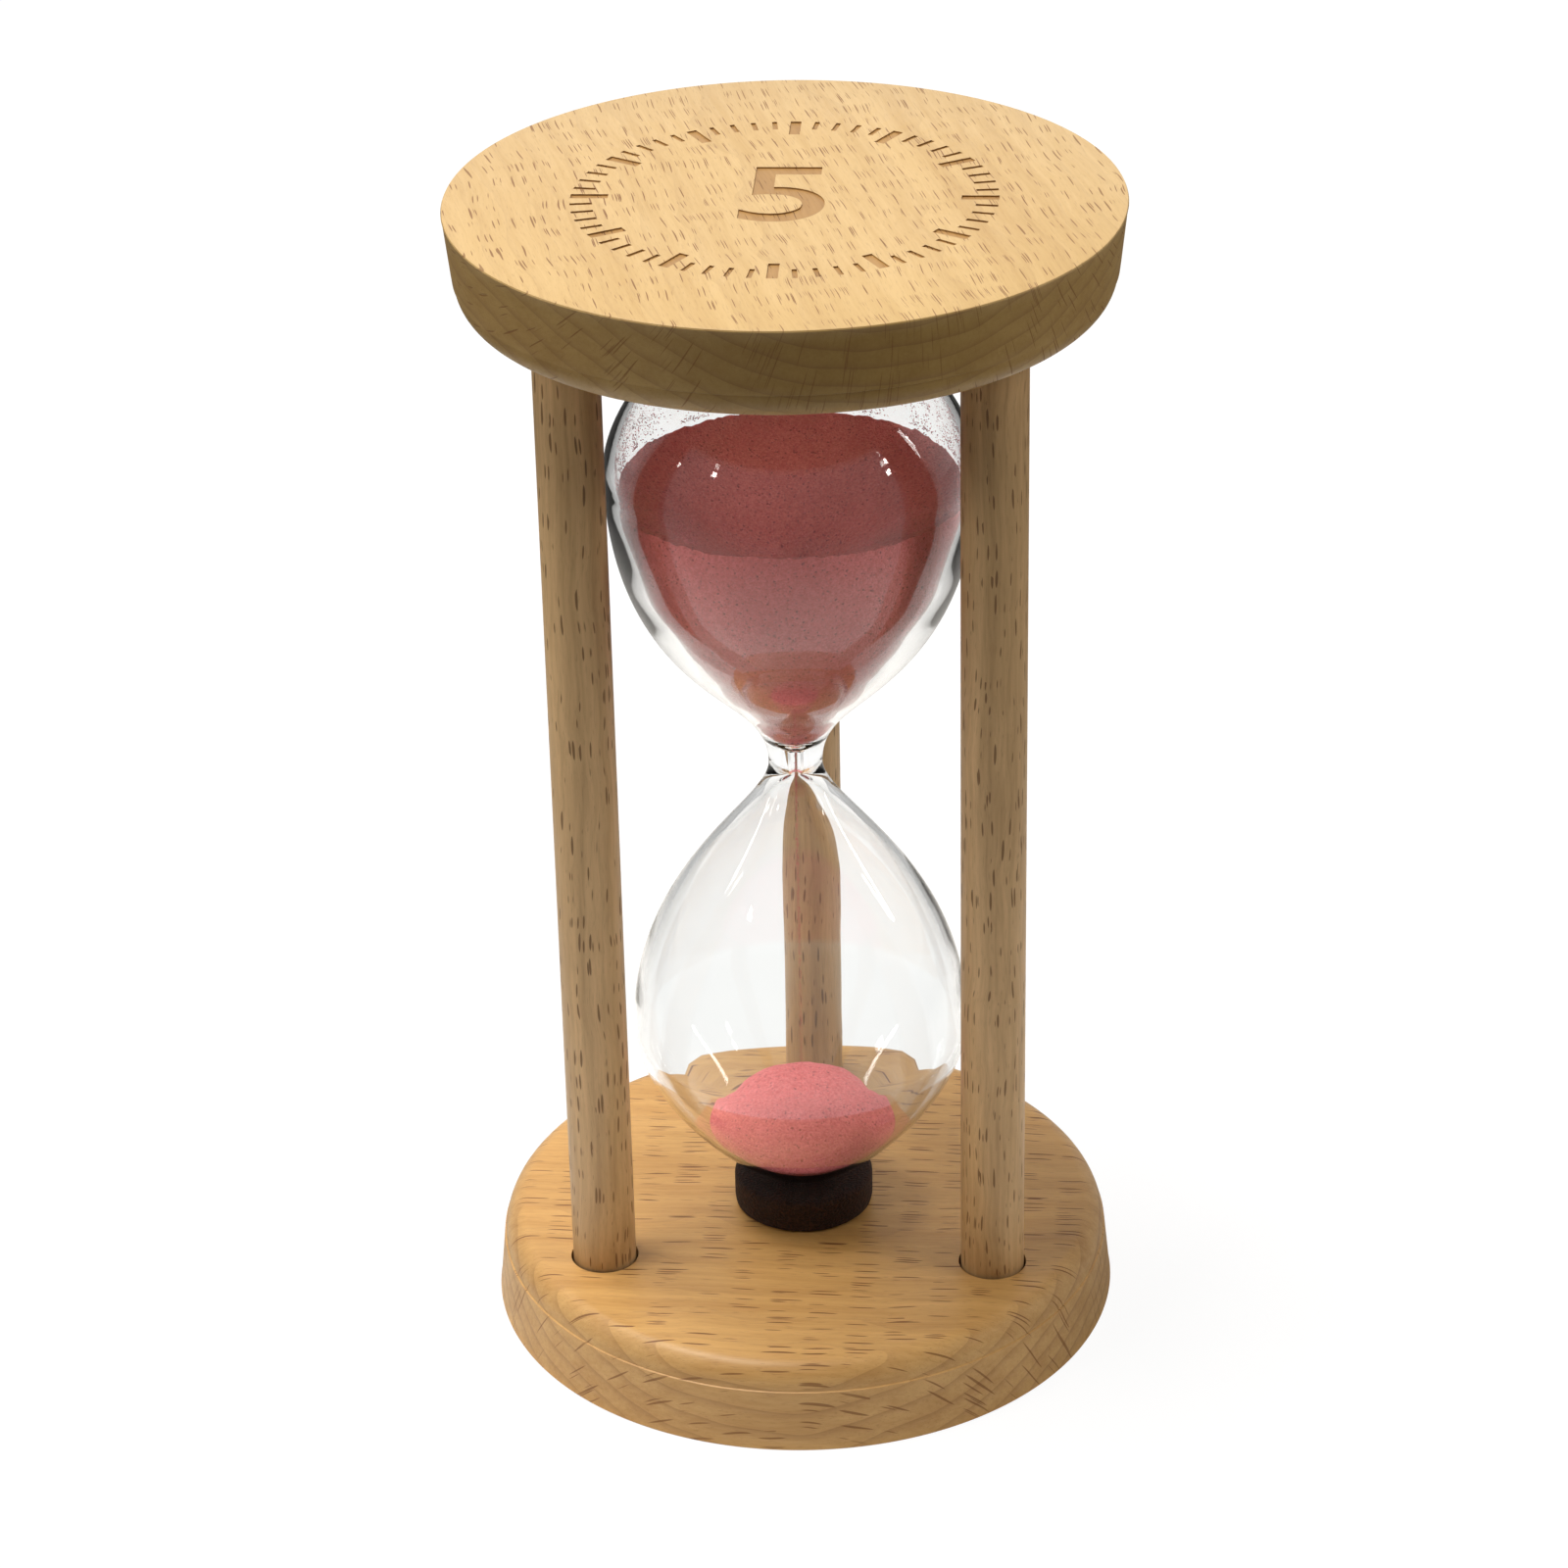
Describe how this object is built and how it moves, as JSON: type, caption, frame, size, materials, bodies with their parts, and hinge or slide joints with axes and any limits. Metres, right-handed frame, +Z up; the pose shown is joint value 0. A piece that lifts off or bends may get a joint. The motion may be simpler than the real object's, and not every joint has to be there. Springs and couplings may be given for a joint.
{
  "type": "hourglass",
  "caption": "Sand timer: a blown glass vessel of two bulbs held between turned beech discs on dowel pillars.",
  "frame": {"origin": "centre of the underside of the base disc, on the surface it stands on", "axes": "+Z up along the vessel's axis, -Y towards the side with two dowels"},
  "size_m": [0.08, 0.08, 0.15],
  "materials": {
    "base_beech": "sanded, clear matt varnish, steamed beech",
    "top_beech": "sanded, clear matt varnish, pale beech",
    "dowel_beech": "sanded, clear matt varnish",
    "pad_foam": "matt dark brown foam rubber",
    "clear_glass": "clear polished",
    "stopper_rubber": "matt translucent grey",
    "pink_sand": "fine dyed grains"
  },
  "bodies": {
    "frame": {"base_disc": "base_beech", "top_disc": "top_beech", "dowel_front_left": "dowel_beech", "dowel_front_right": "dowel_beech", "dowel_back": "dowel_beech", "lower_pad": "pad_foam", "upper_pad": "pad_foam"},
    "vessel": {"glass_vessel": "clear_glass", "fill_stopper": "stopper_rubber", "upper_sand": "pink_sand", "sand_stream": "pink_sand", "lower_sand": "pink_sand"}
  },
  "joints": [
    {"name": "vessel_turn", "type": "hinge", "parent": "frame", "child": "vessel", "pos_m": [0, 0, 0.0758], "axis": [0, 0, 1], "continuous": true}
  ]
}
